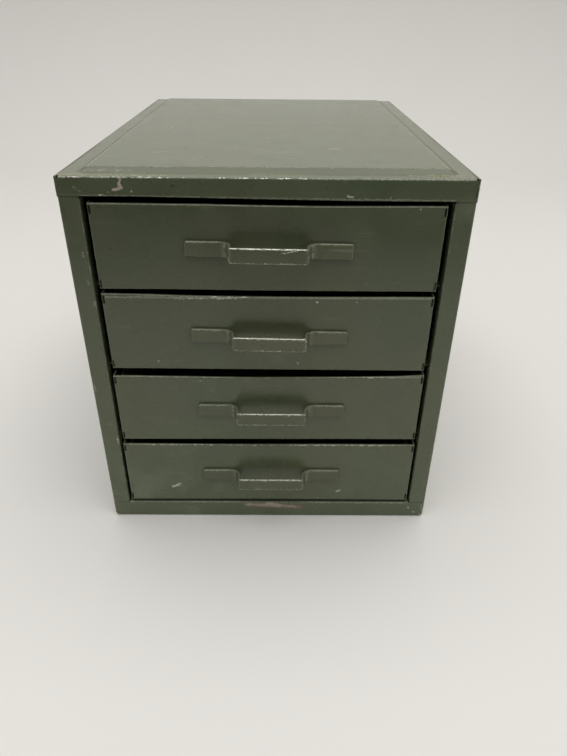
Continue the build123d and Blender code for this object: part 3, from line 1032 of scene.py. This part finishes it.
# %% [markdown]
# ## The case's own marks
#
# The lid's front edge has taken the most knocks: left of the middle it is a row of dark and
# bright chips, and in the middle it is polished to a thin bright line. The rail has a graze with
# pink primer and rust in it, where the case was pushed against something. Long pale lines along
# the raised panel's creases, the flange's lower fold and the rail's upper edge are painted
# highlights broken up by wear, and a dark line at the flange's right end is painted shade. Marks
# on the front are placed by x and z, marks on the lid by x and y, and marks on a side by y and z.

# %% Helpers that place marks on the case
FACE = FRONT / MM
SIDE = case_high.x / MM
LID_TOP = case_high.z / MM + 2.5
LID_BORDER = case_high.z / MM + 1.0
LID_EDGE = case_high.z / MM - 0.2
PANEL_SIDE = 105.5  # the raised panel's edges, from the middle of the lid
PANEL_END = 155.5


def on_front(*marks):
    """Marks on the front plane: start x and z, end x and z, width, how broken."""
    return [((x0, FACE, z0), (x1, FACE, z1), width, broken) for x0, z0, x1, z1, width, broken in marks]


def on_lid(*marks, height=LID_TOP):
    """Marks on the lid: start x and y, end x and y, width, how broken."""
    return [((x0, y0, height), (x1, y1, height), width, broken) for x0, y0, x1, y1, width, broken in marks]


def on_side(side, *marks):
    """Marks on the left side for -1 or the right for 1: start y and z, end y and z, width, how broken."""
    x = side * SIDE
    return [((x, y0, z0), (x, y1, z1), width, broken) for y0, z0, y1, z1, width, broken in marks]


# %% Rubs on the case
rubs_and_highlights_on_front = on_front(
    (-110.2, 253.6, -106.8, 250.3, 0.7, 0.2), (-96.2, 248.7, -95.4, 248.7, 1.6, 0.2),
    (-90.9, 250.4, -90.9, 250.4, 1.4, 0), (-77.7, 251.1, -77.7, 250.6, 1.5, 0),
    (45.6, 248.9, 48.8, 248.5, 1.7, 0.35), (70.5, 248.3, 70.5, 248.3, 1.5, 0),
    (-111.2, 214.2, -111.2, 211.8, 1.3, 0), (-111.1, 196, -111.1, 194, 1.2, 0),
    (-109.0, 182.2, -109.2, 179.8, 1.6, 0.2), (-113.5, 87.9, -113.1, 87.5, 1.5, 0),
    (-109.0, 76, -109.0, 70.5, 2.2, 0.4), (-118.9, 120, -118.6, 116, 1.3, 0.3),
    (108.3, 8.9, 108.3, 8.0, 1.3, 0), (112.2, 4.6, 113.3, 4.0, 1.3, 0),
    (118.1, 11.7, 119.8, 4.0, 1.6, 0.36), (117.5, 2.2, 119.0, 1.2, 1.5, 0.3),
    # the two long lines here follow the rail's upper edge and the flange's lower fold: painted highlights
    # broken into wear chips
    (-107.5, 13.6, 107.5, 13.6, 1.1, 0.47), (-107.5, 248.0, 107.5, 247.0, 1.1, 0.44),
    (120.3, 258, 120.3, 247, 0.9, 0.3),
)
rubs_and_crease_highlights = on_lid(
    (38.5, -100.6, 48.4, -100.2, 0.9, 0.25), (-77.4, -19.3, -76.6, -19.3, 2.2, 0.3),
    (-99.2, -67.2, -98.9, -67.0, 1.6, 0.3), (-22.3, -99.8, -21.9, -99.8, 1.4, 0),
    (-1.8, -62.6, -1.4, -62.6, 1.8, 0.3), (12.0, -133, 15.0, -131, 0.8, 0.3),
    # these six lines follow the raised panel's creases and mitres: painted highlights, broken up
    (-PANEL_SIDE, -PANEL_END, -PANEL_SIDE, PANEL_END, 2.0, 0.37),
    (PANEL_SIDE, -PANEL_END, PANEL_SIDE, PANEL_END, 2.0, 0.37),
    (-PANEL_SIDE, -PANEL_END, -58, -PANEL_END, 1.3, 0.36),
    (-58, -PANEL_END, PANEL_SIDE, -PANEL_END, 1.1, 0.47),
    (-PANEL_SIDE, -PANEL_END, -110.5, -160.5, 1.3, 0.3),
    (PANEL_SIDE, -PANEL_END, 110.5, -160.5, 1.3, 0.3),
)
rubs_on_edge = on_lid(
    (29, FACE, 116, FACE, 1.5, 0.40), (-119, FACE, -60, FACE, 1.8, 0.35), height=LID_EDGE
)
case_marks = {"rubbed_and_highlit": rubs_and_highlights_on_front + rubs_and_crease_highlights + rubs_on_edge}
print("rubs on the case:", len(case_marks["rubbed_and_highlit"]))

# %% Stains, chips and steel on the case
case_marks["stain"] = on_lid(
    (-108.0, -159.5, -80.0, -159.0, 2.4, 0.54), (-112, -166.5, -58, -167.0, 4.5, 0.50),
    (82, -163.5, 112, -162.5, 4.6, 0.52), (-118, -166, -104, -168, 4, 0.46),
    (92, -167, 116, -167, 3.6, 0.52), (43.4, -103, 42.2, -128.7, 2.4, 0.55), height=LID_BORDER,
)
case_marks["dark"] = (
    on_side(1, (-120, 140, -60, 146, 0.8, 0.50))
    + on_side(-1, (20, 60, 70, 52, 0.8, 0.50))
    + on_front(
        # the first mark here, upright at the flange's right end, is a painted shade line in the gap beside
        # the side sheet
        (119.3, 257.4, 119.3, 248.2, 0.8, 0.30), (-54.8, 254.4, -53.6, 254.2, 1.3, 0.2),
        (-116, 258.3, -62, 258.2, 1.5, 0.50),
    )
    + on_lid((-56.4, -101.3, -55.9, -101.3, 1.5, 0.2), (41.8, -112.8, 42.1, -113.2, 1.3, 0))
)
case_marks["rust"] = on_front(
    (-17.6, 11.4, 23.3, 9.3, 5.0, 0.45), (-3.0, 11.6, 9.0, 10.6, 5.2, 0.38),
    (-86.9, 251.4, -84.6, 252.2, 1.0, 0.3),
)
case_marks["pale_and_highlit"] = on_front(
    (46.0, 248.9, 48.2, 248.6, 1.3, 0.40), (-96.2, 248.7, -95.6, 248.7, 1.0, 0.2),
    (-109.3, 75, -109.3, 73.5, 1.1, 0.4), (-77.7, 251.0, -77.7, 250.7, 0.9, 0),
    (108.3, 8.9, 108.3, 8.2, 0.9, 0), (112.4, 4.6, 113.2, 4.2, 0.9, 0),
) + on_lid((38.5, -100.6, 46.4, -100.3, 0.8, 0.40), (-77.2, -19.3, -76.8, -19.3, 1.3, 0.2))
case_marks["primer"] = on_front(
    (-83.4, 259.2, -84.0, 255.0, 1.7, 0.1), (-84.0, 255.4, -83.7, 252.7, 2.3, 0.1),
    (-83.9, 252.5, -87.9, 251.6, 1.7, 0.15), (-17.0, 11.6, 0.0, 10.8, 2.6, 0.42),
    (-1.0, 11.8, 7.5, 10.6, 4.2, 0.40), (8.0, 10.2, 20.0, 9.4, 2.4, 0.45),
)
case_marks["steel"] = on_lid(
    (-116, FACE, -60, FACE, 1.1, 0.50), (-62, FACE, 29, FACE, 0.65, 0.36),
    (-1.5, FACE, 29, FACE, 0.8, 0.2), height=LID_EDGE,
)
for layer, group in case_marks.items():
    print(len(group), "marks of", layer)

# %% Case enamel
# the case's upright faces get a painted shade, darker towards the top and the left
case_enamel = enamelled("aged_case", case_marks, FADED_OLIVE, spared=0.50, painted_shade=0.33, welded=True)

# %% [markdown]
# ## The drawers' marks
#
# Each front's hemmed upper edge is rubbed by the one above it and by fingers, and its round
# catches the light, so a thin pale line runs along it: partly worn paint and partly painted
# highlight, brightest on the three lower drawers, as the lid shades the top one. Apart from that
# the fronts have only a few specks. All four share one material, because a mark is placed in the
# cabinet's frame and so lands on one drawer only.

# %% Marks on the drawer fronts
# how broken each hem's pale line of wear and painted highlight is; the top drawer's is broken most, as the
# lid shades it
HEM_RUB_AND_HIGHLIGHT_BREAKS = (0.56, 0.34, 0.32, 0.34)
tops = [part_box(f"drawer_{number}_front")[1].z / MM for number in DRAWERS]
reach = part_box("drawer_1_front")[1].x / MM - 3
hem_rubs_and_highlights = [(-reach, top - 0.4, reach, top - 0.3, 1.4, broken) for top, broken in zip(tops, HEM_RUB_AND_HIGHLIGHT_BREAKS)]
drawer_marks = {
    "rubbed_and_highlit": on_front(
        *hem_rubs_and_highlights,
        (-40.1, 119.5, -37.6, 116.3, 0.7, 0.2), (-46.6, 124.3, -45.9, 124.0, 1.2, 0.1),
        (-73.6, 139.8, -73.2, 139.4, 1.5, 0), (30.2, 183.2, 31.2, 182.8, 1.6, 0.2),
        (55.8, 183.4, 55.8, 183.0, 1.2, 0), (88.5, 242.2, 88.5, 241.6, 1.2, 0),
        (-72.5, 30.2, -68.0, 31.8, 3.2, 0.44), (51.2, 25.3, 53.8, 26.4, 2.1, 0.42),
        (-62, 139.5, -55, 140.5, 0.8, 0.5), (19, 139.0, 19.6, 138.2, 1.0, 0),
        (60, 195, 63, 197, 0.7, 0.4),
    ),
    "dark": on_front((11.0, 75.6, 12.6, 75.4, 1.8, 0.3)),
    "primer": on_front((10.0, 75.4, 13.0, 74.9, 1.3, 0.3), (-30, 184.9, -28, 184.9, 0.9, 0.2)),
    "pale_and_highlit": on_front(
        (-73.0, 29.9, -67.6, 32.2, 2.6, 0.47), (51.4, 25.4, 53.6, 26.4, 1.5, 0.44),
        (-46.4, 124.2, -46.1, 124.1, 0.8, 0), (-73.5, 139.7, -73.3, 139.5, 1.1, 0),
        (30.4, 183.2, 31.0, 182.9, 1.2, 0.2), (55.8, 183.3, 55.8, 183.1, 0.9, 0),
        (88.5, 242.1, 88.5, 241.8, 0.9, 0), (19.1, 138.9, 19.5, 138.4, 0.8, 0),
        # the last three pale lines run along hems: painted highlights with wear in them
        (-60, 184.8, -20, 185.0, 0.9, 0.50), (-80, tops[2] - 0.9, 90, tops[2] - 0.6, 0.8, 0.50),
        (-90, tops[3] - 0.9, 90, tops[3] - 0.6, 0.8, 0.48),
    ),
    "steel": on_front(
        (-36, tops[1] - 0.3, -14, tops[1] - 0.3, 1.0, 0.44),
        (-62, tops[3] - 0.3, -42, tops[3] - 0.3, 1.0, 0.40),
        (-2, tops[2] - 0.3, 30, tops[2] - 0.3, 1.0, 0.46),
    ),
}

# %% Drawer enamel
# the drawer fronts get more of the painted shade, darker towards the top and the left
drawer_enamel = enamelled("aged_drawers", drawer_marks, FADED_OLIVE, browning=0.6, spared=0.50, painted_shade=0.50)

# %% [markdown]
# ## Pulls
#
# Fingers polish the upper front edge of each grip down to the steel. Pale lines along the grip's
# upper and lower edges and the feet's upper edges are partly rubbed paint and partly painted
# highlight. The top pull has a bright scratch across its grip.

# %% Marks on the pulls
grips = [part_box(f"drawer_{number}_pull") for number in DRAWERS]
GRIP_FACE = grips[0][0].y / MM
INTO_EDGE = 0.35
FOOT_DEPTH = (GRIP_REACH - STRAP_THICKNESS) / MM + INTO_EDGE
UPPER_EDGE = 0.25
LOWER_EDGE = (grips[0][1].z - grips[0][0].z) / MM - 0.3


def on_pulls(x0, x1, width, broken, depth=INTO_EDGE, drop=UPPER_EDGE, numbers=DRAWERS):
    """The same rub along the front of some pulls, which sit a little askew."""
    runs = []
    for number in numbers:
        aside, rise, tilt = PULL_PLACES[number]
        top, slope = grips[number - 1][1].z / MM + rise - drop, math.tan(math.radians(tilt))
        start = (x0 + aside, GRIP_FACE + depth, top - slope * x0)
        runs.append((start, (x1 + aside, GRIP_FACE + depth, top - slope * x1), width, broken))
    return runs


def on_grip(*marks):
    """Single marks on a grip's face: start x and z, end x and z, width, how broken."""
    return [
        ((x0, GRIP_FACE, z0), (x1, GRIP_FACE, z1), width, broken) for x0, z0, x1, z1, width, broken in marks
    ]


pull_marks = {
    # the rubbed and pale lines along the grips' edges and the feet's upper edges are partly painted
    # highlight
    "rubbed_and_highlit": on_pulls(-23.5, 23.5, 1.8, 0.36)
    + on_pulls(-50, -31, 1.5, 0.40, FOOT_DEPTH)
    + on_pulls(31, 50, 1.5, 0.40, FOOT_DEPTH)
    + on_pulls(-23.5, 23.5, 1.5, 0.36, drop=LOWER_EDGE)
    + on_grip((8.3, 219.1, 22.1, 222.0, 1.2, 0.42), (-2, 213, -1.4, 212.4, 1.0, 0)),
    "dark": on_grip((9.0, 218.7, 20.0, 220.9, 0.8, 0.50)),
    "pale_and_highlit": on_pulls(-23.5, 23.5, 0.8, 0.44, drop=LOWER_EDGE)
    + on_grip((9.3, 219.6, 21.1, 221.9, 0.8, 0.46), (-1.9, 213, -1.5, 212.6, 0.7, 0)),
    "steel": on_pulls(-23.0, 23.0, 1.0, 0.44)
    + on_pulls(-12.0, 21.0, 1.0, 0.34, numbers=(1, 2, 3))
    + [((24.0, GRIP_FACE, 163.5), (25.0, GRIP_FACE + 0.6, 157.0), 2.0, 0.40)],
}

# %% Pull enamel
pull_enamel = enamelled("aged_pulls", pull_marks, roughness=0.25, spared=0.49)

# %% [markdown]
# ## Trays, runners and back
#
# The trays are scratched along their length by what was kept in them, and their lower edges are
# bright where they slide on the runners' ledges. The ledges show the same steel. Nothing of this
# is in the picture, so the scratches are spread by a formula: sines with unlike steps look
# like chance and come out the same each time.

# %% Tray enamel
TRAY_SHEET = 0.8
SCRATCHES = 5
SCRATCH_REACH = 85
TRACK_ENDS = (-160, 165)


def along(floor):
    """Scratches on one tray's floor: start x and y, end x and y."""
    runs = []
    for index in range(SCRATCHES):
        across = SCRATCH_REACH * math.sin(2.4 * index + floor)
        middle = 110 * math.sin(1.7 * index + 2 * floor)
        half = 20 + 30 * abs(math.sin(3.1 * index + floor))
        runs.append((across, middle - half, across + 4 * math.sin(index), middle + half))
    return runs


def tracks(x, height, width, broken):
    """Two lines along the cabinet, left and right, at each of the heights."""
    start, end = TRACK_ENDS
    return [((side * x, start, z), (side * x, end, z), width, broken) for z in height for side in (-1, 1)]


tray_lows = [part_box(f"drawer_{number}_tray")[0].z / MM for number in DRAWERS]
tray_marks = {
    "rubbed_and_highlit": [
        ((x0, y0, floor), (x1, y1, floor), 0.9, 0.45)
        for floor in [low + TRAY_SHEET for low in tray_lows]
        for x0, y0, x1, y1 in along(floor)
    ],
    "steel": tracks(reach - 1.5, tray_lows, 2.4, 0.46),
}
tray_enamel = enamelled("aged_trays", tray_marks, browning=0.3, roughness=0.32, spared=0.54)

# %% Runner and back panel enamel
LEDGE_MIDDLE = 101
ledges = [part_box(f"runner_left_{number}")[1].z / MM for number in DRAWERS]
runner_marks = {"steel": tracks(LEDGE_MIDDLE, ledges, 4.0, 0.42)}
runner_enamel = enamelled("aged_runners", runner_marks, roughness=0.34, spared=0.50)
back_enamel = enamelled("aged_back", {}, browning=0.4, roughness=0.31, spared=0.56)

# %% [markdown]
# ## Each finish on its pieces
#
# The dressed pieces and the imported ones that they stand for get the same finish.

# %% Put the finishes on
def finish_with(pieces, nodes, material):
    """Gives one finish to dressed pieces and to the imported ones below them."""
    for piece in pieces:
        piece.data.materials.clear()
        piece.data.materials.append(material)
    for node in nodes:
        frame["nodes"][node].data.materials.clear()
        frame["nodes"][node].data.materials.append(material)


runner_nodes = [f"runner_{side}_{number}" for side in ("left", "right") for number in DRAWERS]
finish_with([wrapper, lid, *seams], ["wrapper", "lid"], case_enamel)
finish_with([back_panel], ["back_panel"], back_enamel)
finish_with(fronts, [f"drawer_{number}_front" for number in DRAWERS], drawer_enamel)
finish_with(trays, [f"drawer_{number}_tray" for number in DRAWERS], tray_enamel)
finish_with(pulls, [f"drawer_{number}_pull" for number in DRAWERS], pull_enamel)
finish_with(runners, runner_nodes, runner_enamel)
print("finishes:", sorted(material.name for material in bpy.data.materials if material.users))
